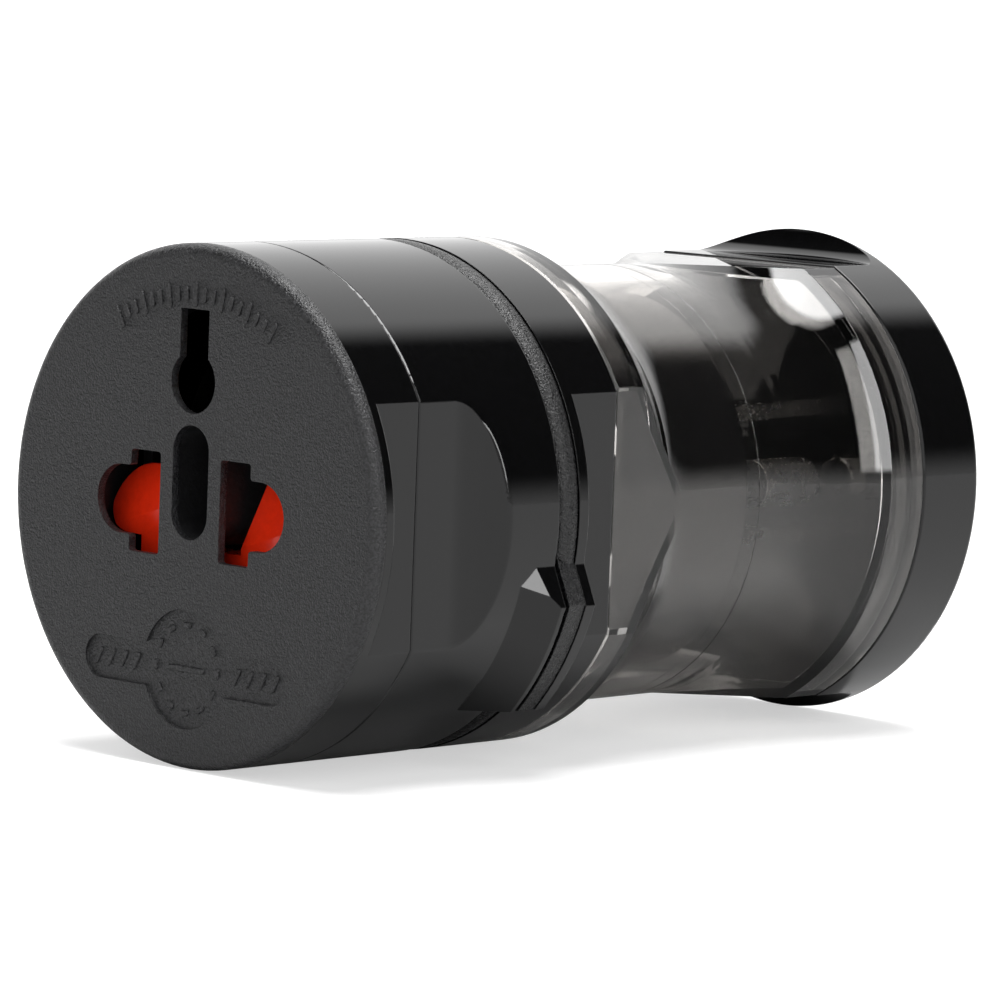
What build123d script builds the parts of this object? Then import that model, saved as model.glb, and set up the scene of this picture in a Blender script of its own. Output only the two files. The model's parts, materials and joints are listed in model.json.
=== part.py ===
"""Universal travel adapter kit in its stored form.

A round socket head carries a Euro plug module.  A smoke cover shuts over the
Euro pins, and a flat-blade plug module closes the far end of the cover with
its blades turned a quarter turn from the pins.

Working axes: Y runs along the barrel from the socket face (0) to the far
face, X is across and Z is up.  Everything is set down on the floor, centred
along Y, when it is written out.
"""
import os
from math import acos, degrees, hypot

from build123d import *

# ---------------------------------------------------------------- barrel
BODY_R = 25.0
FLAT = 22.1
BORE_R = 20.4
PLATE_BACK_Y = 1.3
RIM_END_Y = 2.3
RING_END_Y = 8.0
SCOOP_START_Y = 12.9
SCOOP_R = 5.26
BAND_Y = 24.6
BAND_W = 2.6
BASE_START_Y = 27.3
STRIP_END_Y = 28.7
BASE_END_Y = 35.05
COVER_START_Y = 35.15
COVER_END_Y = 78.1
END_START_Y = 78.2
FAR_FACE_Y = 87.0
EDGE = 0.2
SOFT_EDGE = 0.35
ROUND_EDGE = 0.3
SCOOP_EDGE = 0.9
SNUG = 0.05
SLACK = 0.2
PAST = 1.0
BIG = 80.0

# ---------------------------------------------------------------- finger lugs
LUG_R = 27.5
LUG_LOW_Z = -18.8
LUG_IN_X = 15.0
LUG_SLOPE_TOP = (24.2, -3.4)
LUG_SLOPE_OUT = (30.9, -18.8)
LUG_START_Y = 20.3
LUG_FULL_Y = 23.9
LUG_FACET = (0.864, -0.444, 0.24)
LUG_FACET_SPOT = (24.4, 21.2, -5.0)

# ---------------------------------------------------------------- socket face
FACE_EDGE_R = 1.2
FACE_LIP_Y = 2.8
FACE_LIP_IN_R = 19.0
SLOT_X = 6.15
SLOT_W = 4.1
SLOT_H = 9.8
LOBE_X = 9.5
LOBE_R = 3.3
EARTH_Z = 11.9
EARTH_R = 3.0
EARTH_SLOT_W = 3.9
EARTH_SLOT_TOP = 18.8
CENTRE_W = 4.9
CENTRE_H = 10.9
CENTRE_Z = 2.35
PLAQUE_Z = -15.4
PLAQUE_L = 27.6
PLAQUE_H = 4.2
PLAQUE_R = 5.7
PLAQUE_DEEP = 0.3
FIELD_BACK_Y = 0.9
CORNER_R = 0.35
SKIRT_GAP = 0.1
SKIRT_WALL = 0.6
SKIRT_END_Y = 7.2

# ---------------------------------------------------------------- shutter
SHUTTER_FRONT_Y = 3.6
SHUTTER_BACK_Y = 7.0
WING_IN_X = 3.5
WING_STEP = (10.3, -3.8)
WING_SHOULDER = (5.5, 2.7)
WING_CREST = (6.6, 3.2)
WING_TOP = (9.0, 3.1)
DOME_MID = (13.0, 2.0)
DOME_END = (14.95, -0.9)
HEEL_MID = (14.4, -2.6)
HEEL_END = (12.5, -3.7)
BRIDGE_TOP_Z = -4.4
BRIDGE_LOW_Z = -7.4
CREASE_TILT = 18.0
CREASE_LEFT = (-10.7, -2.0)
CREASE_RIGHT = (8.3, -2.1)
RAMP_RUN = 5.6
RAMP_DEEP = 1.4
RAMP_HALF_W = 7.2
RAMP_TOP = 12.0
GUIDE_X = 15.7
GUIDE_W = 0.9
GUIDE_FRONT_Y = 3.0
GUIDE_LOW_Z = -12.4
GUIDE_TOP_Z = 6.0
SPRING_Y = 5.3
SPRING_COIL_R = 1.7
SPRING_WIRE_R = 0.28
SPRING_TURNS = 5.0
SPRING_SEAT_Z = -19.3
SPRING_SEAT_T = 0.7
SPRING_SEAT_W = 6.0

# ---------------------------------------------------------------- head inside
CARRIER_FRONT_Y = 7.4
SLEEVE_START_Y = 18.0
CARRIER_FLOOR_Y = 22.4
CARRIER_BACK_Y = 23.2
CARRIER_R = 20.3
FRAME_IN_R = 19.5
SHROUD_WALL = 1.2
EARTH_WALL = 1.0
HEAD_BOSS_Y = 16.0
CHANNEL_IN_X = 3.9
CHANNEL_OUT_X = 13.2
CHANNEL_H = 10.4
EARTH_CHANNEL_R = 3.5
TAIL_W = 2.0
TAIL_T = 1.0
TAIL_SLACK = 0.4
SLEEVE_IN_R = 18.6
SLEEVE_OUT_R = 20.0
BAND_SEAT_R = 22.1
BAND_EDGE_R = 24.85
BAND_CROWN_R = 24.85
BAND_GROOVE_R = 24.2
BAND_GROOVE_W = 0.5
SLEEVE_END_Y = 30.5
BACK_PLATE_Y = 25.0
LEAF_T = 0.5
CLIP_IN_X = 8.6
CLIP_OUT_X = 12.4
CLIP_MOUTH_Y = 9.6
CLIP_PINCH_Y = 11.6
CLIP_WEB_Y = 21.6
CLIP_BEND_Y = 20.4
CLIP_MOUTH_H = 3.7
CLIP_PINCH_H = 2.7
CLIP_ROOT_H = 3.2
BLADE_CLIP_X = 6.35
BLADE_CLIP_H = 7.0
JAW_MOUTH = 1.35
JAW_PINCH = 0.95
JAW_ROOT = 1.15
WEB_LAP = 1.4
PRONG_X = 7.0
PRONG_W = 4.0
PRONG_T = 1.2
PRONG_END_Y = 36.5
PRONG_SLOT_W = 4.8
PRONG_SLOT_T = 1.9
HEAD_SCREW_X = 10.5
HEAD_SCREW_Z = 11.0

# ---------------------------------------------------------------- Euro module
SOCKET_R = 20.3
DECK_R = 20.2
DECK_Y = 31.5
DECK_BACK_Y = 33.1
NOSE_FLANGE_Y = 34.3
NOSE_R = 18.9
NOSE_END_Y = 58.0
NOSE_IN_R = 16.4
NOSE_FLOOR_Y = 55.5
NOSE_EDGE_R = 1.2
PIN_X = 9.5
PIN_R = 2.4
PIN_CORE_R = 1.8
PIN_SLEEVE_R = 2.35
PIN_TIP_Y = 77.0
PIN_TIP_ROUND = 1.9
PIN_METAL_Y = 68.2
PIN_ROOT_Y = 40.75
PIN_COLLAR_Y = 52.5
PIN_COLLAR_R = 3.4
SPIGOT_R = 22.5
SPIGOT_FLAT = 19.9
SPIGOT_L = 2.4
CLIP_GAP = 1.15
PRONG_CLIP_FLARE = 0.8
PRONG_CLIP_SET_BACK = 0.6
MODULE_SCREW_R = 13.8
BOSS_R = 2.3
NOSE_BOSS_R = 2.9
BOSS_END_Y = 44.0

# ---------------------------------------------------------------- cover
COVER_WALL = 1.8
FLANGE_A_Y = 39.0
FLARE_A_Y = 46.2
FLARE_B_Y = 61.5
FLANGE_B_Y = 73.2
NECK_R = 21.9
COVER_FLAT = 21.95
COVER_MID_Y = 56.6
WITNESS = 0.05

# ---------------------------------------------------------------- blade module
END_WALL_Y = 78.5
END_WALL_BACK_Y = 80.3
END_SCOOP_Y = 83.4
END_SCOOP_R = 2.9
END_EDGE_R = 0.8
END_PLATE_Y = 84.6
END_PLATE_BACK_Y = 85.8
BLADE_Z = 6.35
BLADE_W = 6.35
BLADE_T = 1.55
BLADE_TIP_Y = 61.2
BLADE_TIP_CUT = 0.55
BLADE_HOLE_R = 1.5
BLADE_HOLE_Y = 64.4
BLADE_ROOT_Y = 80.9
END_WEB_Y = 81.15
END_CLIP_MOUTH_Y = 84.4

SCREW_R = 1.1
SCREW_HEAD_R = 1.9
SCREW_HEAD_H = 1.1
SCREW_L = 6.5
SCREW_SLOT = 0.5
SCREW_CROSS = 2.4


# ================================================================ helpers
def along(outline, y_from, y_to):
    """Run an X-Z outline along the barrel between two stations."""
    return extrude(Plane.XZ.offset(-y_from) * outline, amount=y_from - y_to)


def barrel(radius, y_from, y_to):
    """Plain round length of the barrel."""
    return along(Circle(radius), y_from, y_to)


def tube(outer, inner, y_from, y_to):
    """Round wall between two radii."""
    return along(Circle(outer) - Circle(inner), y_from, y_to)


def flatted(radius, flat, upright=False):
    """Round outline with two flats, on the sides or on top and bottom."""
    if upright:
        return Circle(radius) & Rectangle(2 * radius, 2 * flat)
    return Circle(radius) & Rectangle(2 * flat, 2 * radius)


def quarter(shape):
    """Turn a piece a quarter turn about the barrel axis."""
    return Rot(0, 90, 0) * shape


def scoop_cut(flat, start_y, radius, from_y):
    """Cutter for one flat with a hollow run-out up to the full round."""
    reach = BODY_R + 1 - flat
    climb = degrees(acos(1 - reach / radius))
    arc = CenterArc((flat + radius, start_y), radius, 180, -climb)
    top = arc @ 1
    back = Polyline((top.X, top.Y), (BIG, top.Y), (BIG, from_y), (flat, from_y), (flat, start_y))
    return extrude(make_face(arc + back), amount=BODY_R + 1, both=True)


def scooped(body, flat, start_y, radius, from_y):
    """Cut the same scoop on both sides of a body."""
    cutter = scoop_cut(flat, start_y, radius, from_y)
    return body - cutter - Rot(0, 180, 0) * cutter


def screw(x, z, head_y):
    """Pan-head screw driven toward the socket face from its head station."""
    body = barrel(SCREW_HEAD_R, head_y - SCREW_HEAD_H, head_y)
    body += barrel(SCREW_R, head_y - SCREW_L, head_y - SCREW_HEAD_H)
    cross = Rectangle(SCREW_CROSS, SCREW_SLOT) + Rectangle(SCREW_SLOT, SCREW_CROSS)
    body -= along(cross, head_y - SCREW_SLOT, head_y + 1)
    return Pos(x, 0, z) * body


def round_side_edges(body, radius):
    """Round the edges that lie on the barrel's outside, away from its two ends."""
    ends = body.bounding_box()
    edges = [e for e in body.edges() if ends.min.Y + PAST < (e @ 0.5).Y < ends.max.Y - PAST
             and hypot((e @ 0.5).X, (e @ 0.5).Z) > BODY_R - SNUG]
    return fillet(edges, radius)


def lug_outline(grow=0.0):
    """Section of one finger lug: sloping top, round outside, level underside."""
    block = make_face(Polyline((LUG_IN_X, LUG_SLOPE_TOP[1]), LUG_SLOPE_TOP, LUG_SLOPE_OUT,
                               (LUG_IN_X, LUG_LOW_Z), (LUG_IN_X, LUG_SLOPE_TOP[1])))
    return (block & Circle(LUG_R + grow)) - Circle(BAND_SEAT_R)


def both_sides(body):
    """A piece on the right and its mirror image on the left."""
    return body + mirror(body, Plane.YZ)


def sloped_lug():
    """Front end of the right-hand lug, rising out of the barrel to its full height."""
    body = along(lug_outline(), LUG_START_Y - PAST, BAND_Y)
    ramp = make_face(Polyline((0, LUG_START_Y - PAST), (BODY_R, LUG_START_Y - PAST), (BODY_R, LUG_START_Y),
                              (LUG_R, LUG_FULL_Y), (LUG_R, BAND_Y), (0, BAND_Y),
                              (0, LUG_START_Y - PAST)))
    body &= revolve(ramp, Axis.Y)
    facet = Plane(origin=LUG_FACET_SPOT, z_dir=LUG_FACET)
    return split(body, bisect_by=facet, keep=Keep.BOTTOM)


def prong_slots(y_from, y_to):
    """Clearance slots for the two coupling prongs."""
    slots = Sketch() + [Pos(s * PRONG_X, 0) * Rectangle(PRONG_SLOT_T, PRONG_SLOT_W) for s in (-1, 1)]
    return along(slots, y_from, y_to)


# ================================================================ socket head
def line_opening(side):
    """Tall blade slot joined to a round pin lobe on its outer side."""
    slot = Pos(side * SLOT_X, 0) * Rectangle(SLOT_W, SLOT_H)
    throat = Pos(side * (SLOT_X + LOBE_X) / 2, 0) * Rectangle(LOBE_X - SLOT_X, 2 * LOBE_R)
    lobe = Pos(side * LOBE_X, 0) * Circle(LOBE_R)
    outline = slot + throat + lobe
    corners = [v for v in outline.vertices() if abs(v.X) < LOBE_X - SNUG]
    return fillet(corners, CORNER_R)


def earth_opening():
    """Keyhole: round pin hole with a slot running up from it."""
    slot_mid = (EARTH_Z + EARTH_SLOT_TOP) / 2
    slot = Pos(0, slot_mid) * Rectangle(EARTH_SLOT_W, EARTH_SLOT_TOP - EARTH_Z)
    return Pos(0, EARTH_Z) * Circle(EARTH_R) + slot


def centre_opening():
    """Upright round-ended slot in the middle of the face."""
    return Pos(0, CENTRE_Z) * Rot(0, 0, 90) * SlotOverall(CENTRE_H, CENTRE_W)


def face_plate():
    """Matte disc with the socket openings and a shallow blank plaque."""
    plate = barrel(BODY_R, 0, PLATE_BACK_Y)
    plate = fillet(plate.edges().group_by(Axis.Y)[0], FACE_EDGE_R)
    plate += tube(BORE_R - SNUG, FACE_LIP_IN_R, PLATE_BACK_Y, FACE_LIP_Y)
    plate -= barrel(FACE_LIP_IN_R, FIELD_BACK_Y, FACE_LIP_Y)
    holes = line_opening(-1) + line_opening(1) + earth_opening() + centre_opening()
    plate -= along(holes, -1, PLATE_BACK_Y + 1)
    plaque = Pos(0, PLAQUE_Z) * (SlotOverall(PLAQUE_L, PLAQUE_H) + Circle(PLAQUE_R))
    return plate - along(plaque, -1, PLAQUE_DEEP)


def centre_shroud():
    """Insulating tube welded behind the centre slot, set back from its edge."""
    wall = offset(centre_opening(), SKIRT_GAP + SKIRT_WALL) - offset(centre_opening(), SKIRT_GAP)
    return along(wall, FIELD_BACK_Y, SKIRT_END_Y)


def front_ring():
    """Gloss ring behind the face: a thin round rim, then two flat sides."""
    body = round_side_edges(along(flatted(BODY_R, FLAT), RIM_END_Y, RING_END_Y), ROUND_EDGE)
    body = fillet(body.edges().group_by(Axis.Y)[-1], EDGE)
    body += barrel(BODY_R, PLATE_BACK_Y, RIM_END_Y)
    return body - barrel(BORE_R, PLATE_BACK_Y - 1, RING_END_Y + 1)


def main_housing():
    """Gloss housing with a finger scoop and a raised lug on each side."""
    body = scooped(barrel(BODY_R, RING_END_Y, BAND_Y), FLAT, SCOOP_START_Y, SCOOP_R, RING_END_Y - 2)
    body = round_side_edges(body, SCOOP_EDGE)
    body = fillet(body.edges().group_by(Axis.Y)[0], EDGE)
    body += both_sides(sloped_lug())
    body = fillet(body.edges().group_by(Axis.Y)[-1], EDGE)
    return body - barrel(BORE_R, RING_END_Y - 1, BAND_Y + 1)


def grip_band():
    """Grained bead round the joint, with a groove in front and a piece over each lug."""
    groove_end = BAND_Y + BAND_GROOVE_W
    side = Polyline((BAND_EDGE_R, BAND_Y + BAND_W), (BAND_SEAT_R, BAND_Y + BAND_W), (BAND_SEAT_R, BAND_Y),
                    (BAND_GROOVE_R, BAND_Y), (BAND_GROOVE_R, groove_end))
    crown = ThreePointArc((BAND_GROOVE_R, groove_end), (BAND_CROWN_R, BAND_Y + BAND_W / 2),
                          (BAND_EDGE_R, BAND_Y + BAND_W))
    band = revolve(make_face(side + crown), Axis.Y)
    lug = along(lug_outline(-2 * SNUG), groove_end, BAND_Y + BAND_W)
    return band + both_sides(lug)


def coupling_sleeve():
    """Inner sleeve: seats the bead and guides the plug module on and off."""
    sleeve = barrel(BORE_R, SLEEVE_START_Y, BAND_Y)
    sleeve += barrel(BAND_SEAT_R, BAND_Y, BAND_Y + BAND_W)
    sleeve += barrel(SLEEVE_OUT_R, BAND_Y + BAND_W, SLEEVE_END_Y)
    sleeve = chamfer(sleeve.edges().group_by(Axis.Y)[-1], SOFT_EDGE)
    return sleeve - barrel(SLEEVE_IN_R, SLEEVE_START_Y - 1, SLEEVE_END_Y + 1)


def shutter_frame():
    """Thin ring with the two shutter rails and the spring's seat."""
    body = tube(CARRIER_R, FRAME_IN_R, GUIDE_FRONT_Y, CARRIER_FRONT_Y)
    guide_mid = (GUIDE_LOW_Z + GUIDE_TOP_Z) / 2
    for side in (-1, 1):
        rail = Pos(side * GUIDE_X, guide_mid) * Rectangle(GUIDE_W, GUIDE_TOP_Z - GUIDE_LOW_Z)
        body += along(rail, GUIDE_FRONT_Y, CARRIER_FRONT_Y)
    seat = Pos(0, SPRING_SEAT_Z - SPRING_SEAT_T / 2) * Rectangle(SPRING_SEAT_W, SPRING_SEAT_T)
    return body + along(seat, GUIDE_FRONT_Y, CARRIER_FRONT_Y)


def line_shroud(side):
    """Insulating box round one line contact."""
    width = CHANNEL_OUT_X - CHANNEL_IN_X
    middle = side * (CHANNEL_OUT_X + CHANNEL_IN_X) / 2
    outside = Rectangle(width + 2 * SHROUD_WALL, CHANNEL_H + 2 * SHROUD_WALL)
    wall = Pos(middle, 0) * (outside - Rectangle(width, CHANNEL_H))
    return along(wall, CARRIER_FRONT_Y, CARRIER_FLOOR_Y)


def earth_shroud():
    """Insulating tube round the earth sleeve, open along the top."""
    wall = Circle(EARTH_CHANNEL_R + EARTH_WALL) - Circle(EARTH_CHANNEL_R)
    wall -= Pos(0, EARTH_CHANNEL_R) * Rectangle(EARTH_SLOT_W + SLACK, 2 * EARTH_CHANNEL_R)
    return Pos(0, 0, EARTH_Z) * along(wall, CARRIER_FRONT_Y, CARRIER_FLOOR_Y)


def contact_carrier():
    """Floor disc under the shrouds, with four screw bosses."""
    body = barrel(SLEEVE_IN_R - SNUG, CARRIER_FLOOR_Y, CARRIER_BACK_Y)
    for x, z in head_screw_spots():
        body += Pos(x, 0, z) * barrel(BOSS_R, HEAD_BOSS_Y, CARRIER_FLOOR_Y)
        body -= Pos(x, 0, z) * barrel(SCREW_R, CARRIER_BACK_Y - SCREW_L, CARRIER_BACK_Y + 1)
    body -= prong_slots(CARRIER_FLOOR_Y - 1, CARRIER_BACK_Y + 1)
    return body - along(tail_outline(TAIL_SLACK), CARRIER_FLOOR_Y - 1, CARRIER_BACK_Y + 1)


def head_screw_spots():
    """Four screw positions round the back of the head."""
    return [(sx * HEAD_SCREW_X, sz * HEAD_SCREW_Z) for sx in (-1, 1) for sz in (-1, 1)]


def head_back_plate():
    """Plate that closes the carrier and lets the prongs through."""
    plate = barrel(SLEEVE_IN_R - SNUG, CARRIER_BACK_Y, BACK_PLATE_Y)
    plate -= prong_slots(CARRIER_BACK_Y - 1, BACK_PLATE_Y + 1)
    plate -= along(tail_outline(TAIL_SLACK), CARRIER_BACK_Y - 1, BACK_PLATE_Y + 1)
    for x, z in head_screw_spots():
        plate -= Pos(x, 0, z) * barrel(SCREW_R, CARRIER_BACK_Y - 1, BACK_PLATE_Y + 1)
        plate -= Pos(x, 0, z) * barrel(SCREW_HEAD_R, BACK_PLATE_Y - SCREW_HEAD_H, BACK_PLATE_Y + 1)
    return plate


def head_screws():
    """Four screws through the back plate."""
    return Compound(children=[screw(x, z, BACK_PLATE_Y) for x, z in head_screw_spots()])


def line_contact(side):
    """Folded contact: pin clip, blade clip, web and coupling prong."""
    leaf = [(CLIP_MOUTH_Y, CLIP_MOUTH_H), (CLIP_PINCH_Y, CLIP_PINCH_H),
            (CLIP_BEND_Y, CLIP_ROOT_H), (CLIP_WEB_Y, CLIP_ROOT_H)]
    pin_path = Polyline(*leaf, *[(y, -z) for y, z in reversed(leaf)])
    pin_clip = extrude(Plane.YZ * trace(pin_path, LEAF_T), amount=CLIP_OUT_X - CLIP_IN_X)
    body = Pos(CLIP_IN_X, 0, 0) * pin_clip
    jaw = [(JAW_MOUTH, CLIP_MOUTH_Y), (JAW_PINCH, CLIP_PINCH_Y),
           (JAW_ROOT, CLIP_BEND_Y), (JAW_ROOT, CLIP_WEB_Y)]
    jaw_path = Polyline(*[(BLADE_CLIP_X - x, y) for x, y in jaw],
                        *[(BLADE_CLIP_X + x, y) for x, y in reversed(jaw)])
    body += extrude(trace(jaw_path, LEAF_T), amount=BLADE_CLIP_H / 2, both=True)
    web_w = CLIP_OUT_X - BLADE_CLIP_X + WEB_LAP
    web = Pos(CLIP_OUT_X - web_w / 2, 0) * Rectangle(web_w, 2 * CLIP_ROOT_H + LEAF_T)
    body += along(web, CLIP_WEB_Y - LEAF_T / 2, CLIP_WEB_Y + LEAF_T / 2)
    prong = along(Pos(PRONG_X, 0) * Rectangle(PRONG_T, PRONG_W), CLIP_WEB_Y, PRONG_END_Y)
    body += chamfer(prong.edges().group_by(Axis.Y)[-1], SOFT_EDGE)
    return body if side > 0 else mirror(body, Plane.YZ)


def tail_outline(grow=0.0):
    """Outline of the earth sleeve's flat tail."""
    return Pos(0, EARTH_Z) * Rectangle(TAIL_W + grow, TAIL_T + grow)


def earth_contact():
    """Split spring sleeve with a short tail."""
    ring = Circle(EARTH_CHANNEL_R - 0.1) - Circle(EARTH_R)
    ring -= Pos(0, EARTH_R) * Rectangle(EARTH_SLOT_W, 2 * EARTH_R)
    body = along(ring, CLIP_MOUTH_Y, CLIP_WEB_Y)
    body += barrel(EARTH_CHANNEL_R - 0.1, CLIP_WEB_Y, CLIP_WEB_Y + LEAF_T)
    body = Pos(0, 0, EARTH_Z) * body
    return body + along(tail_outline(), CLIP_WEB_Y, BACK_PLATE_Y + 1)


# ================================================================ shutter
def wing_outline():
    """Outline of the right-hand shutter wing."""
    leg = Polyline(WING_STEP, (WING_STEP[0], BRIDGE_LOW_Z), (WING_IN_X, BRIDGE_LOW_Z),
                   (WING_IN_X, WING_STEP[1]), WING_SHOULDER, WING_CREST, WING_TOP)
    dome = ThreePointArc(WING_TOP, DOME_MID, DOME_END)
    heel = ThreePointArc(DOME_END, HEEL_MID, HEEL_END)
    foot = Line(HEEL_END, WING_STEP)
    return make_face(leg + dome + heel + foot)


def ramp_cut(spot):
    """Cutter for one sloping ramp above a slightly tilted crease."""
    section = make_face(Polyline((-PAST, 0), (0, 0), (RAMP_DEEP, RAMP_RUN), (RAMP_DEEP, RAMP_TOP),
                                 (-PAST, RAMP_TOP), (-PAST, 0)))
    cutter = extrude(Plane.YZ * section, amount=RAMP_HALF_W, both=True)
    return Pos(spot[0], SHUTTER_FRONT_Y, spot[1]) * Rot(0, -CREASE_TILT, 0) * cutter


def shutter():
    """Sliding shutter: two ramped wings on a bridge under the centre slot."""
    right = along(wing_outline(), SHUTTER_FRONT_Y, SHUTTER_BACK_Y)
    left = mirror(right, Plane.YZ)
    bridge_h = BRIDGE_TOP_Z - BRIDGE_LOW_Z
    bridge = Pos(0, BRIDGE_LOW_Z + bridge_h / 2) * Rectangle(2 * WING_IN_X, bridge_h)
    body = right - ramp_cut(CREASE_RIGHT)
    body += left - ramp_cut(CREASE_LEFT)
    return body + along(bridge, SHUTTER_FRONT_Y, SHUTTER_BACK_Y)


def shutter_spring():
    """Return spring standing under the shutter bridge."""
    height = BRIDGE_LOW_Z - SPRING_SEAT_Z - 2 * SPRING_WIRE_R
    path = Helix(height / SPRING_TURNS, height, SPRING_COIL_R)
    coil = sweep(Plane(path @ 0, z_dir=path % 0) * Circle(SPRING_WIRE_R), path)
    return Pos(0, SPRING_Y, SPRING_SEAT_Z + SPRING_WIRE_R) * coil


# ================================================================ Euro module
def euro_base():
    """Gloss base: round strip carrying the two lugs, flat sides and a cover spigot."""
    body = round_side_edges(along(flatted(BODY_R, FLAT), STRIP_END_Y - EDGE, BASE_END_Y), ROUND_EDGE)
    body = fillet(body.edges().group_by(Axis.Y)[-1], EDGE)
    strip = barrel(BODY_R, BASE_START_Y, STRIP_END_Y)
    strip += both_sides(along(lug_outline(), BASE_START_Y, STRIP_END_Y))
    body += fillet(strip.edges().group_by(Axis.Y)[-1], EDGE)
    body += along(flatted(SPIGOT_R, SPIGOT_FLAT), BASE_END_Y, BASE_END_Y + SPIGOT_L)
    body -= barrel(SOCKET_R, BASE_START_Y - 1, NOSE_FLANGE_Y)
    return body - barrel(NOSE_R, NOSE_FLANGE_Y, BASE_END_Y + SPIGOT_L + 1)


def module_deck():
    """Inner deck behind the coupling with slots for the head's prongs."""
    deck = barrel(DECK_R, DECK_Y, DECK_BACK_Y) - prong_slots(DECK_Y - 1, DECK_BACK_Y + 1)
    for z in (-MODULE_SCREW_R, MODULE_SCREW_R):
        deck -= Pos(0, 0, z) * barrel(SCREW_R, DECK_Y - 1, DECK_BACK_Y + 1)
    return deck


def euro_nose():
    """Round nose that carries the two pins."""
    body = barrel(NOSE_R, DECK_BACK_Y, NOSE_END_Y)
    body = fillet(body.edges().group_by(Axis.Y)[-1], NOSE_EDGE_R)
    body += barrel(DECK_R, DECK_BACK_Y, NOSE_FLANGE_Y)
    body -= barrel(NOSE_IN_R, DECK_BACK_Y - 1, NOSE_FLOOR_Y)
    for z in (-MODULE_SCREW_R, MODULE_SCREW_R):
        body += Pos(0, 0, z) * tube(NOSE_BOSS_R, SCREW_R, DECK_BACK_Y, BOSS_END_Y)
    for side in (-1, 1):
        body -= Pos(side * PIN_X, 0, 0) * barrel(PIN_SLEEVE_R, NOSE_FLOOR_Y - 1, NOSE_END_Y + 1)
    return body


def euro_pin(side):
    """Round pin: slim core inside its sleeve, full metal at the free end."""
    tip = barrel(PIN_R, PIN_METAL_Y, PIN_TIP_Y)
    tip = fillet(tip.edges().group_by(Axis.Y)[-1], PIN_TIP_ROUND)
    body = tip + barrel(PIN_CORE_R, PIN_ROOT_Y, PIN_METAL_Y)
    body += barrel(PIN_COLLAR_R, PIN_COLLAR_Y, NOSE_FLOOR_Y)
    return Pos(side * PIN_X, 0, 0) * body


def pin_sleeve(side):
    """Insulating sleeve over the root of one pin."""
    return Pos(side * PIN_X, 0, 0) * tube(PIN_SLEEVE_R, PIN_CORE_R, NOSE_FLOOR_Y, PIN_METAL_Y)


def prong_clip(mouth_y, web_y):
    """Two-leaf clip that takes one coupling prong."""
    turn = PRONG_CLIP_FLARE if web_y > mouth_y else -PRONG_CLIP_FLARE
    half = [(CLIP_GAP + SOFT_EDGE, mouth_y), (CLIP_GAP, mouth_y + turn), (CLIP_GAP, web_y)]
    path = Polyline(*[(PRONG_X - x, y) for x, y in half], *[(PRONG_X + x, y) for x, y in reversed(half)])
    return extrude(trace(path, LEAF_T), amount=PRONG_SLOT_W / 2, both=True)


def euro_contact(side):
    """Clip for the head's prong with a strap across to the pin root."""
    web_y = PIN_ROOT_Y - LEAF_T / 2
    body = prong_clip(DECK_BACK_Y + PRONG_CLIP_SET_BACK, web_y)
    strap_in = PRONG_X - CLIP_GAP
    strap_out = PIN_X + PIN_R
    strap = Pos((strap_in + strap_out) / 2, 0) * Rectangle(strap_out - strap_in, PRONG_SLOT_W)
    body += along(strap, web_y - LEAF_T / 2, web_y + LEAF_T / 2)
    return body if side > 0 else mirror(body, Plane.YZ)


def euro_screws():
    """Two screws that clamp the deck to the nose, driven from the coupling."""
    spots = (-MODULE_SCREW_R, MODULE_SCREW_R)
    return Compound(children=[Rot(180, 0, 0) * screw(0, -z, SCREW_HEAD_H - DECK_Y) for z in spots])


# ================================================================ cover
def cover_form(inset, y_from, y_to):
    """Waisted round form with side flats near and top flats far."""
    flange = BODY_R - inset
    neck = NECK_R - inset
    near_end = Polyline((neck, FLARE_B_Y), (neck, FLARE_A_Y))
    near_flare = TangentArc((neck, FLARE_A_Y), (flange, FLANGE_A_Y), tangent=(0, -1))
    far_flare = TangentArc((neck, FLARE_B_Y), (flange, FLANGE_B_Y), tangent=(0, 1))
    ends = Polyline((flange, FLANGE_A_Y), (flange, y_from), (0, y_from), (0, y_to), (flange, y_to),
                    (flange, FLANGE_B_Y))
    form = revolve(make_face(near_end + near_flare + far_flare + ends), Axis.Y)
    near = along(flatted(BODY_R + 1, COVER_FLAT - inset), y_from - 1, COVER_MID_Y)
    far = along(flatted(BODY_R + 1, COVER_FLAT - inset, upright=True), COVER_MID_Y, y_to + 1)
    return form & (near + far)


def smoke_cover():
    """Clear smoke cover, open at both ends, flats turned a quarter turn."""
    body = cover_form(0, COVER_START_Y, COVER_END_Y)
    ends = body.edges().group_by(Axis.Y)
    body = chamfer(ends[0] + ends[-1], EDGE)
    body -= cover_form(COVER_WALL, COVER_START_Y - 1, COVER_END_Y + 1)
    return body - tube(NECK_R + 1, NECK_R - WITNESS, COVER_MID_Y - WITNESS, COVER_MID_Y + WITNESS)


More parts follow.
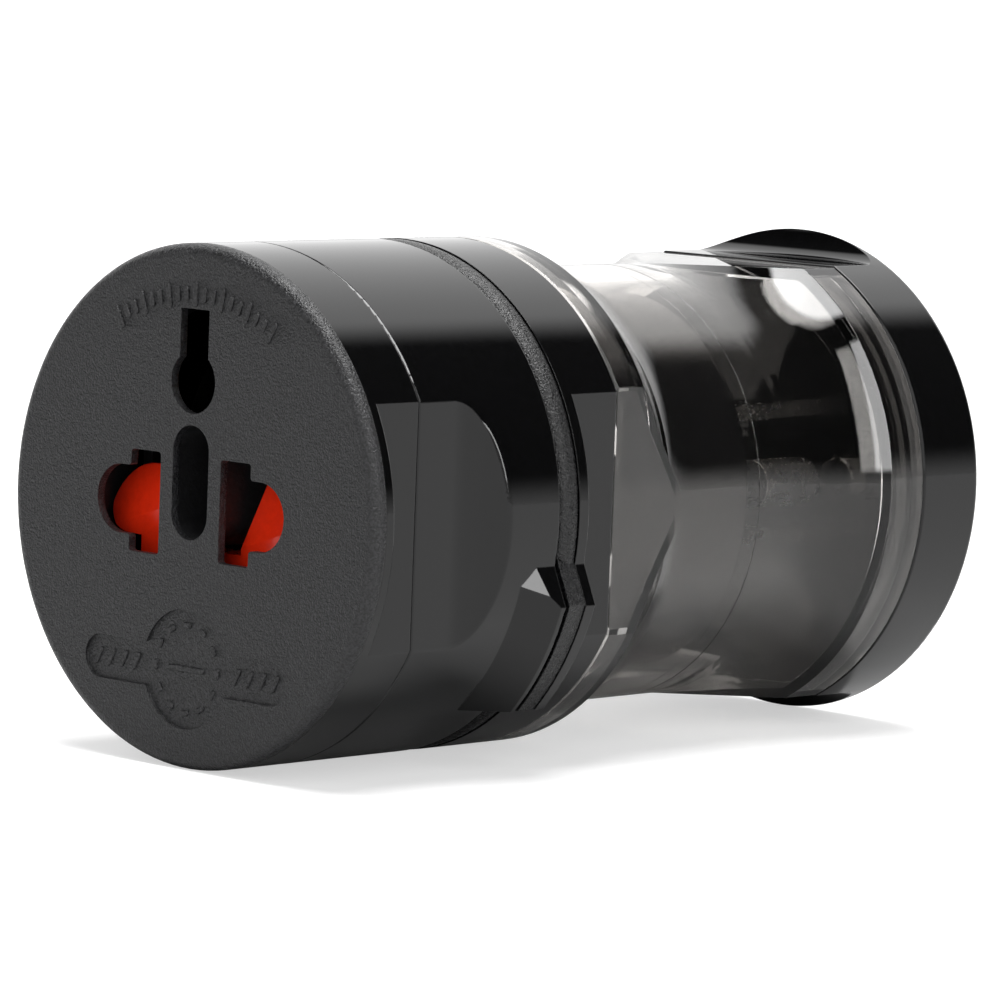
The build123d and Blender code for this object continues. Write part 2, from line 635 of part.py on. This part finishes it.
# ================================================================ blade module
def end_base():
    """Gloss end body with top and bottom flats scooped up to a round rim."""
    body = barrel(BODY_R, END_START_Y, FAR_FACE_Y)
    body = fillet(body.edges().group_by(Axis.Y)[-1], END_EDGE_R)
    body = quarter(scooped(body, FLAT, END_SCOOP_Y, END_SCOOP_R, END_START_Y - 2))
    body = chamfer(body.edges().group_by(Axis.Y)[0], EDGE)
    body += along(flatted(SPIGOT_R, SPIGOT_FLAT, upright=True), END_START_Y - SPIGOT_L, END_START_Y)
    body -= barrel(SLEEVE_IN_R, END_START_Y - SPIGOT_L - 1, END_WALL_Y)
    body -= barrel(SOCKET_R, END_WALL_BACK_Y, FAR_FACE_Y + 1)
    for x in (-MODULE_SCREW_R, MODULE_SCREW_R):
        body += Pos(x, 0, 0) * tube(BOSS_R, SCREW_R, END_WALL_BACK_Y, END_PLATE_Y)
    for side in (-1, 1):
        slot = Pos(0, side * BLADE_Z) * Rectangle(BLADE_W, BLADE_T)
        body -= along(slot, END_WALL_Y - 1, END_WALL_BACK_Y + 1)
    return body


def end_plate():
    """Matte plate set into the far face, with coupling slots."""
    plate = barrel(DECK_R, END_PLATE_Y, END_PLATE_BACK_Y)
    plate -= quarter(prong_slots(END_PLATE_Y - 1, END_PLATE_BACK_Y + 1))
    for x in (-MODULE_SCREW_R, MODULE_SCREW_R):
        plate -= Pos(x, 0, 0) * barrel(SCREW_R, END_PLATE_Y - 1, END_PLATE_BACK_Y + 1)
    return plate


def flat_blade(side):
    """Flat blade with a tapered tip and a round hole."""
    body = along(Rectangle(BLADE_W, BLADE_T), BLADE_TIP_Y, BLADE_ROOT_Y)
    body = chamfer(body.edges().group_by(Axis.Y)[0], BLADE_TIP_CUT)
    body -= Pos(0, BLADE_HOLE_Y, 0) * Cylinder(BLADE_HOLE_R, 4 * BLADE_T)
    return Pos(0, 0, side * BLADE_Z) * body


def end_contact(side):
    """Clip behind the far face, standing on the blade root."""
    body = prong_clip(END_CLIP_MOUTH_Y, END_WEB_Y)
    web = Pos(PRONG_X, 0) * Rectangle(2 * CLIP_GAP + LEAF_T, PRONG_SLOT_W)
    body += along(web, END_WEB_Y - LEAF_T / 2, END_WEB_Y + LEAF_T / 2)
    turned_body = Rot(0, -90, 0) * body
    return turned_body if side > 0 else mirror(turned_body, Plane.XY)


def end_screws():
    """Two screws that hold the far plate."""
    spots = (-MODULE_SCREW_R, MODULE_SCREW_R)
    return Compound(children=[screw(x, 0, END_PLATE_BACK_Y + SCREW_HEAD_H) for x in spots])


# ================================================================ write out
NODES = {
    "face_plate": face_plate(),
    "centre_shroud": centre_shroud(),
    "front_ring": front_ring(),
    "main_housing": main_housing(),
    "grip_band": grip_band(),
    "coupling_sleeve": coupling_sleeve(),
    "shutter_frame": shutter_frame(),
    "live_shroud": line_shroud(1),
    "neutral_shroud": line_shroud(-1),
    "earth_shroud": earth_shroud(),
    "contact_carrier": contact_carrier(),
    "head_back_plate": head_back_plate(),
    "head_screws": head_screws(),
    "live_contact": line_contact(1),
    "neutral_contact": line_contact(-1),
    "earth_contact": earth_contact(),
    "shutter": shutter(),
    "shutter_spring": shutter_spring(),
    "euro_base": euro_base(),
    "euro_deck": module_deck(),
    "euro_nose": euro_nose(),
    "euro_pin_live": euro_pin(1),
    "euro_pin_neutral": euro_pin(-1),
    "pin_sleeve_live": pin_sleeve(1),
    "pin_sleeve_neutral": pin_sleeve(-1),
    "euro_contact_live": euro_contact(1),
    "euro_contact_neutral": euro_contact(-1),
    "euro_screws": euro_screws(),
    "smoke_cover": smoke_cover(),
    "end_base": end_base(),
    "end_plate": end_plate(),
    "blade_upper": flat_blade(1),
    "blade_lower": flat_blade(-1),
    "end_contact_upper": end_contact(1),
    "end_contact_lower": end_contact(-1),
    "end_screws": end_screws(),
}

os.makedirs("parts", exist_ok=True)
for name, shape in NODES.items():
    export_step(Pos(0, -FAR_FACE_Y / 2, BODY_R) * shape, f"parts/{name}.step")
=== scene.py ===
import json
from math import cos, pi, radians, sin

import bmesh
import bpy
from mathutils import Matrix, Vector


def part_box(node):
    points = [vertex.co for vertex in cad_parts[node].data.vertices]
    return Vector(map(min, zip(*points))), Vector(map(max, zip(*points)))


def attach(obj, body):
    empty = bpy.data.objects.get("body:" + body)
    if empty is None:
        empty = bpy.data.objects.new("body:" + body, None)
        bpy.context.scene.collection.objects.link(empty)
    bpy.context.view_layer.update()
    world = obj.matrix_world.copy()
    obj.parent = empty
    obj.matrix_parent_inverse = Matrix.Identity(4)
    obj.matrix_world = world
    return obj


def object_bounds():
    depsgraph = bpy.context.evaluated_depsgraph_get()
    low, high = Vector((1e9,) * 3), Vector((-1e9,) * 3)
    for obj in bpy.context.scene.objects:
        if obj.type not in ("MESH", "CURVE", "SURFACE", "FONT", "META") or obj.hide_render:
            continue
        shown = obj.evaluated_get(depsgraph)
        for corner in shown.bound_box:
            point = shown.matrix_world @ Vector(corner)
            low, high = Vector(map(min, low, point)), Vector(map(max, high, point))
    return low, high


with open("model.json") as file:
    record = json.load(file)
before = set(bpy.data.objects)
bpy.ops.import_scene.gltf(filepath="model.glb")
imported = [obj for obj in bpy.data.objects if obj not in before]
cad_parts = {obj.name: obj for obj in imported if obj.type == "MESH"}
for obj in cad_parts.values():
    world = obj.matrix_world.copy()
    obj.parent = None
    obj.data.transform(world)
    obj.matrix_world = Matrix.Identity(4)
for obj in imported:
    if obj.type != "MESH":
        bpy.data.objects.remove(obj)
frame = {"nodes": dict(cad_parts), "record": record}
CAD_LOW, CAD_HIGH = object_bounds()

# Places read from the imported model, in metres.
FACE_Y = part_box("face_plate")[0][1]
RING_LOW, RING_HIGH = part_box("front_ring")
AXIS_Z = (RING_LOW[2] + RING_HIGH[2]) / 2
MM = 0.001

# Relief marks on the socket face, in millimetres.
RIB_COUNT = 19
RIB_SPREAD = radians(31)
RIB_RING_R = 20.2
RIB_LONG, RIB_SHORT = 2.4, 1.5
RIB_WIDTH, RIB_HEIGHT, RIB_SINK = 0.6, 0.25, 0.05
PLAQUE_Z, PLAQUE_SINK = -15.4, 0.35
MARK_HEIGHT = 0.22
DASH_FIRST_X, DASH_PITCH, DASH_LEAN = 6.9, 1.75, radians(62)
DASH_LENGTH, DASH_WIDTH = 1.9, 0.5
DOT_RING_R, DOT_LENGTH, DOT_WIDTH = 4.2, 1.1, 0.6
CENTRE_BAR_LENGTH = 5.0


# ---------------------------------------------------------------- node helpers
def new_material(name, colour, roughness, **sockets):
    """A Principled material; sockets are set by their names with underscores."""
    mat = bpy.data.materials.new(name)
    mat.use_nodes = True
    shader = mat.node_tree.nodes["Principled BSDF"]
    shader.inputs["Base Color"].default_value = (*colour, 1)
    shader.inputs["Roughness"].default_value = roughness
    for key, value in sockets.items():
        shader.inputs[key.replace("_", " ")].default_value = value
    return mat


def node(mat, kind, inputs=(), **settings):
    """Adds one node; inputs maps socket names to values or other sockets."""
    made = mat.node_tree.nodes.new(kind)
    for key, value in settings.items():
        setattr(made, key, value)
    for key, value in dict(inputs).items():
        if isinstance(value, bpy.types.NodeSocket):
            mat.node_tree.links.new(value, made.inputs[key])
        else:
            made.inputs[key].default_value = value
    return made


def noise(mat, per_mm, detail=2.0, rough=0.5, stretch=(1.0, 1.0, 1.0)):
    """Noise socket with a stated number of grains per millimetre along each axis of stretch."""
    where = node(mat, "ShaderNodeTexCoord").outputs["Object"]
    drawn = node(mat, "ShaderNodeVectorMath", {0: where, 1: stretch}, operation="MULTIPLY")
    made = node(mat, "ShaderNodeTexNoise", {"Vector": drawn.outputs[0], "Scale": per_mm / MM,
                                            "Detail": detail, "Roughness": rough})
    return made.outputs["Fac"]


def soft_edges(mat, radius_mm):
    """Normal socket with worn, slightly rounded edges."""
    return node(mat, "ShaderNodeBevel", {"Radius": radius_mm * MM}, samples=4).outputs["Normal"]


def bump(mat, height, strength, depth_mm, normal=None):
    """Bump socket over an optional normal."""
    inputs = {"Height": height, "Strength": strength, "Distance": depth_mm * MM}
    if normal is not None:
        inputs["Normal"] = normal
    return node(mat, "ShaderNodeBump", inputs).outputs["Normal"]


def span(mat, socket, low, high, from_low=0.35, from_high=0.65):
    """Stretches a noise socket's middle band to low..high."""
    made = node(mat, "ShaderNodeMapRange", {"Value": socket, "From Min": from_low,
                                            "From Max": from_high, "To Min": low, "To Max": high})
    return made.outputs["Result"]


def blend_colours(mat, factor, first, second):
    """Colour socket between two colours."""
    made = node(mat, "ShaderNodeMix", data_type="RGBA")
    made.inputs[6].default_value = (*first, 1)
    made.inputs[7].default_value = (*second, 1)
    mat.node_tree.links.new(factor, made.inputs[0])
    return made.outputs[2]


def feed(mat, **sockets):
    """Links sockets into the material's Principled shader."""
    shader = mat.node_tree.nodes["Principled BSDF"]
    for key, socket in sockets.items():
        mat.node_tree.links.new(socket, shader.inputs[key.replace("_", " ")])


# ---------------------------------------------------------------- materials
def grained_plastic(name, dark, light, roughness, grains, depth_mm):
    """Matt moulded plastic with a fine spark-eroded grain that glints."""
    mat = new_material(name, dark, roughness, Specular_IOR_Level=0.5)
    grain = noise(mat, grains, detail=2.0, rough=0.6)
    mottle = noise(mat, grains / 2.6, detail=2.0)
    normal = bump(mat, grain, 1.0, depth_mm, soft_edges(mat, 0.12))
    feed(mat, Base_Color=blend_colours(mat, span(mat, grain, 0, 1, 0.38, 0.62), dark, light),
         Roughness=span(mat, mottle, roughness - 0.08, roughness + 0.08),
         Normal=bump(mat, mottle, 0.6, depth_mm, normal))
    return mat


def gloss_plastic(name, colour, rub, roughness=0.035):
    """Polished moulded plastic: faint ripple, hairline rubs and softened edges."""
    mat = new_material(name, colour, roughness, Specular_IOR_Level=0.5)
    ripple = noise(mat, 0.12, detail=1.0)
    haze = noise(mat, 1.4, detail=4.0, rough=0.7)
    normal = bump(mat, ripple, 0.25, 0.02, soft_edges(mat, 0.14))
    feed(mat, Base_Color=blend_colours(mat, span(mat, haze, 0, 1), colour, rub),
         Roughness=span(mat, haze, roughness, roughness * 2.2),
         Normal=bump(mat, haze, 0.06, 0.004, normal))
    return mat


def smoke_plastic():
    """Clear smoke-tinted plastic with faint flow lines and dust haze."""
    clear, hazed = (0.78, 0.755, 0.73), (0.73, 0.705, 0.68)
    mat = new_material("smoke_clear", clear, 0.012, IOR=1.5, Transmission_Weight=1.0)
    haze = noise(mat, 0.5, detail=4.0, rough=0.65)
    ripple = noise(mat, 0.1, detail=1.0)
    feed(mat, Roughness=span(mat, haze, 0.004, 0.022),
         Base_Color=blend_colours(mat, span(mat, haze, 0, 1), clear, hazed),
         Normal=bump(mat, ripple, 0.2, 0.02, soft_edges(mat, 0.12)))
    return mat


def plated_metal():
    """Nickel plate with fine turned lines and small rubs."""
    mat = new_material("pin_metal", (0.74, 0.72, 0.69), 0.18, Metallic=1.0)
    rub = noise(mat, 0.9, detail=5.0, rough=0.7)
    turned = noise(mat, 9.0, detail=1.0, stretch=(0.04, 1.0, 0.04))
    normal = bump(mat, turned, 1.0, 0.012, soft_edges(mat, 0.1))
    feed(mat, Base_Color=blend_colours(mat, span(mat, rub, 0, 1), (0.82, 0.80, 0.77), (0.70, 0.68, 0.65)),
         Roughness=span(mat, rub, 0.20, 0.30), Normal=bump(mat, rub, 0.15, 0.006, normal))
    return mat


def strip_brass():
    """Pressed brass strip with a rolled grain and a little tarnish."""
    mat = new_material("contact_brass", (0.70, 0.48, 0.20), 0.28, Metallic=1.0)
    stain = noise(mat, 0.5, detail=4.0)
    rolled = noise(mat, 6.0, detail=2.0)
    feed(mat, Base_Color=blend_colours(mat, span(mat, stain, 0, 1), (0.72, 0.50, 0.21), (0.50, 0.32, 0.13)),
         Roughness=span(mat, stain, 0.22, 0.42), Normal=bump(mat, rolled, 0.2, 0.004))
    return mat


def zinc_steel():
    """Zinc-plated steel for screws and the spring."""
    mat = new_material("steel", (0.52, 0.52, 0.54), 0.3, Metallic=1.0)
    cloud = noise(mat, 1.2, detail=4.0)
    feed(mat, Base_Color=blend_colours(mat, span(mat, cloud, 0, 1), (0.56, 0.56, 0.58), (0.38, 0.37, 0.36)),
         Roughness=span(mat, cloud, 0.24, 0.42),
         Normal=bump(mat, cloud, 0.2, 0.01, soft_edges(mat, 0.06)))
    return mat


MATERIALS = {
    "face_matte": grained_plastic("face_matte", (0.001, 0.001, 0.0012), (0.022, 0.022, 0.024),
                                  0.36, 4.6, 0.13),
    "gloss_black": gloss_plastic("gloss_black", (0.0009, 0.0009, 0.001), (0.0016, 0.0016, 0.0018)),
    "band_grain": grained_plastic("band_grain", (0.001, 0.001, 0.0012), (0.006, 0.006, 0.0066),
                                  0.26, 5.0, 0.13),
    "nose_black": gloss_plastic("nose_black", (0.005, 0.005, 0.0055), (0.008, 0.008, 0.009), 0.08),
    "inner_black": grained_plastic("inner_black", (0.008, 0.008, 0.009), (0.012, 0.012, 0.013),
                                   0.5, 3.0, 0.03),
    "shutter_red": gloss_plastic("shutter_red", (0.88, 0.030, 0.006), (0.80, 0.026, 0.005), 0.12),
    "smoke_clear": smoke_plastic(),
    "sleeve_black": gloss_plastic("sleeve_black", (0.010, 0.010, 0.011), (0.014, 0.014, 0.015), 0.2),
    "pin_metal": plated_metal(),
    "contact_brass": strip_brass(),
    "steel": zinc_steel(),
}


def paint_cad_nodes():
    """Gives every CAD node the material of its record slot."""
    slot_of = {part["node"]: part["material_slot"] for part in frame["record"]["subparts"]}
    for name, obj in frame["nodes"].items():
        obj.data.materials.clear()
        obj.data.materials.append(MATERIALS[slot_of[name]])


# ---------------------------------------------------------------- relief marks
def bar_mesh(bm, place, length, width, height):
    """Adds one round-ended raised bar lying along local X, standing along local Z."""
    steps = 6
    rings = []
    for inset, level in ((0.0, 0.0), (0.0, height * 0.55), (height * 0.45, height)):
        ring = []
        half, end_r = (length - width) / 2, width / 2 - inset
        for side in (1, -1):
            for k in range(steps + 1):
                a = -pi / 2 + pi * k / steps
                x = side * (half + end_r * cos(a))
                ring.append(bm.verts.new(place @ Vector((x, side * end_r * sin(a), level))))
        rings.append(ring)
    for low, high in zip(rings, rings[1:]):
        for k in range(len(low)):
            j = (k + 1) % len(low)
            bm.faces.new((low[k], low[j], high[j], high[k]))
    bm.faces.new(rings[-1])
    bm.faces.new(reversed(rings[0]))


def face_place(x_mm, z_mm, turn, sink_mm):
    """Frame on the socket face: local X turned in the face, local Z outward."""
    outward = Matrix(((1, 0, 0), (0, 0, -1), (0, 1, 0))).to_4x4()
    spot = Vector((x_mm * MM, FACE_Y + sink_mm * MM, AXIS_Z + z_mm * MM))
    return Matrix.Translation(spot) @ outward @ Matrix.Rotation(turn, 4, "Z")


def finish_piece(name, bm, body, slot):
    """Turns a bmesh into an object that rides on a body in a material slot."""
    bmesh.ops.recalc_face_normals(bm, faces=bm.faces)
    mesh = bpy.data.meshes.new(name)
    bm.to_mesh(mesh)
    bm.free()
    piece = bpy.data.objects.new(name, mesh)
    bpy.context.collection.objects.link(piece)
    piece.data.materials.append(MATERIALS[slot])
    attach(piece, body)
    return piece


def face_arc_ribs():
    """A plain row of short radial ribs along the top of the face."""
    bm = bmesh.new()
    for k in range(RIB_COUNT):
        a = -RIB_SPREAD + 2 * RIB_SPREAD * k / (RIB_COUNT - 1)
        length = RIB_LONG if k % 3 == 0 else RIB_SHORT
        place = face_place(RIB_RING_R * sin(a), RIB_RING_R * cos(a), pi / 2 - a, RIB_SINK)
        bar_mesh(bm, place, length * MM, RIB_WIDTH * MM, RIB_HEIGHT * MM)
    finish_piece("face_arc_ribs", bm, "head", "face_matte")


def plaque_marks():
    """Generic dashes along the plaque's bar, a ring of dots and a bar in its circle."""
    bm = bmesh.new()
    height = MARK_HEIGHT * MM
    for side in (-1, 1):
        for k in range(4):
            x = side * (DASH_FIRST_X + DASH_PITCH * k)
            bar_mesh(bm, face_place(x, PLAQUE_Z, DASH_LEAN, PLAQUE_SINK),
                     DASH_LENGTH * MM, DASH_WIDTH * MM, height)
    for k in range(12):
        a = 2 * pi * k / 12
        place = face_place(DOT_RING_R * sin(a), PLAQUE_Z + DOT_RING_R * cos(a), -a, PLAQUE_SINK)
        bar_mesh(bm, place, DOT_LENGTH * MM, DOT_WIDTH * MM, height)
    bar_mesh(bm, face_place(0, PLAQUE_Z, 0, PLAQUE_SINK), CENTRE_BAR_LENGTH * MM, DOT_WIDTH * MM, height)
    finish_piece("plaque_marks", bm, "head", "face_matte")


# ---------------------------------------------------------------- studio
def world_math(world, kind, *values):
    """One math node in the world tree."""
    made = world.node_tree.nodes.new("ShaderNodeMath")
    made.operation = kind
    for k, value in enumerate(values):
        if isinstance(value, bpy.types.NodeSocket):
            world.node_tree.links.new(value, made.inputs[k])
        else:
            made.inputs[k].default_value = value
    return made.outputs[0]


def smooth_step(world, value, low, high):
    """0 below low, 1 above high, smooth between; low may be the larger."""
    made = world.node_tree.nodes.new("ShaderNodeMapRange")
    made.interpolation_type = "SMOOTHSTEP"
    world.node_tree.links.new(value, made.inputs["Value"])
    made.inputs["From Min"].default_value = low
    made.inputs["From Max"].default_value = high
    return made.outputs["Result"]


def studio_world():
    """Soft surround by direction: top box, side strip, rear panel, front light, floor glow."""
    world = bpy.data.worlds.new("studio")
    bpy.context.scene.world = world
    world.use_nodes = True
    nodes, links = world.node_tree.nodes, world.node_tree.links
    nodes.clear()
    ways = nodes.new("ShaderNodeSeparateXYZ")
    links.new(nodes.new("ShaderNodeTexCoord").outputs["Generated"], ways.inputs[0])
    x, y, z = ways.outputs
    turn = world_math(world, "ARCTAN2", x, world_math(world, "MULTIPLY", y, -1.0))
    round_turn = world_math(world, "WRAP", turn, radians(360), 0.0)

    def times(*parts):
        total = parts[0]
        for part in parts[1:]:
            total = world_math(world, "MULTIPLY", total, part)
        return total

    def between(value, a, b, c, d):
        return times(smooth_step(world, value, a, b), smooth_step(world, value, d, c))

    top_box = times(smooth_step(world, z, sin(radians(68)), sin(radians(72))), 15.0)
    strip = times(between(round_turn, *map(radians, (76, 78, 88, 90))),
                  between(z, sin(radians(3)), sin(radians(6)), sin(radians(56)), sin(radians(59))), 10.0)
    panel = times(between(round_turn, *map(radians, (166, 182, 264, 280))),
                  between(z, -0.02, 0.14, sin(radians(48)), sin(radians(55))), 1.75)
    front = times(between(turn, *map(radians, (-24, -10, 46, 60))),
                  between(z, -0.02, 0.10, sin(radians(50)), sin(radians(62))), 1.5)
    floor_glow = times(smooth_step(world, z, 0.16, -0.05), 1.1)
    total = 0.05
    for part in (top_box, strip, panel, front, floor_glow):
        total = world_math(world, "ADD", total, part)
    seen = nodes.new("ShaderNodeLightPath").outputs["Is Camera Ray"]
    level = nodes.new("ShaderNodeMix")
    links.new(seen, level.inputs[0])
    links.new(total, level.inputs[2])
    level.inputs[3].default_value = 1.0
    light = nodes.new("ShaderNodeBackground")
    links.new(level.outputs[0], light.inputs["Strength"])
    links.new(light.outputs[0], nodes.new("ShaderNodeOutputWorld").inputs["Surface"])


def pale_floor():
    """A wide plain floor at the object's lowest point, paler where the camera sees it."""
    half = 6.0
    mesh = bpy.data.meshes.new("studio_floor")
    low = CAD_LOW[2]
    corners = [(sx * half, sy * half, low) for sx, sy in ((-1, -1), (1, -1), (1, 1), (-1, 1))]
    mesh.from_pydata(corners, [], [(0, 1, 2, 3)])
    floor = bpy.data.objects.new("studio_floor", mesh)
    bpy.context.collection.objects.link(floor)
    mat = new_material("studio_floor", (0.50, 0.50, 0.50), 0.9, Specular_IOR_Level=0.1)
    lit = node(mat, "ShaderNodeEmission", {"Color": (1, 1, 1, 1), "Strength": 0.55})
    extra = node(mat, "ShaderNodeAddShader")
    links = mat.node_tree.links
    links.new(mat.node_tree.nodes["Principled BSDF"].outputs[0], extra.inputs[0])
    links.new(lit.outputs[0], extra.inputs[1])
    seen = node(mat, "ShaderNodeLightPath").outputs["Is Camera Ray"]
    pick = node(mat, "ShaderNodeMixShader", {"Fac": seen})
    links.new(mat.node_tree.nodes["Principled BSDF"].outputs[0], pick.inputs[1])
    links.new(extra.outputs[0], pick.inputs[2])
    links.new(pick.outputs[0], mat.node_tree.nodes["Material Output"].inputs["Surface"])
    floor.data.materials.append(mat)


def photo_camera():
    """Long lens from the right of the socket face, a little above the axis."""
    azimuth, elevation, roll = radians(43.592), radians(5.814), radians(2.135)
    distance, shift_right, shift_up = 0.60757, -1.781 * MM, -1.421 * MM
    target = Vector((0, FACE_Y + 45.0 * MM, AXIS_Z))
    back = Vector((sin(azimuth) * cos(elevation), -cos(azimuth) * cos(elevation), sin(elevation)))
    level = Vector((cos(azimuth), sin(azimuth), 0))
    rise = back.cross(level)
    right = level * cos(roll) + rise * sin(roll)
    up = rise * cos(roll) - level * sin(roll)
    data = bpy.data.cameras.new("camera")
    data.sensor_width = 36.0
    data.lens = 219.31
    data.clip_start = 0.01
    camera = bpy.data.objects.new("camera", data)
    bpy.context.collection.objects.link(camera)
    place = Matrix((right, up, back)).transposed().to_4x4()
    place.translation = target + back * distance + right * shift_right + up * shift_up
    camera.matrix_world = place
    bpy.context.scene.camera = camera


paint_cad_nodes()
face_arc_ribs()
plaque_marks()
studio_world()
pale_floor()
photo_camera()
bpy.context.scene.view_settings.view_transform = "Standard"
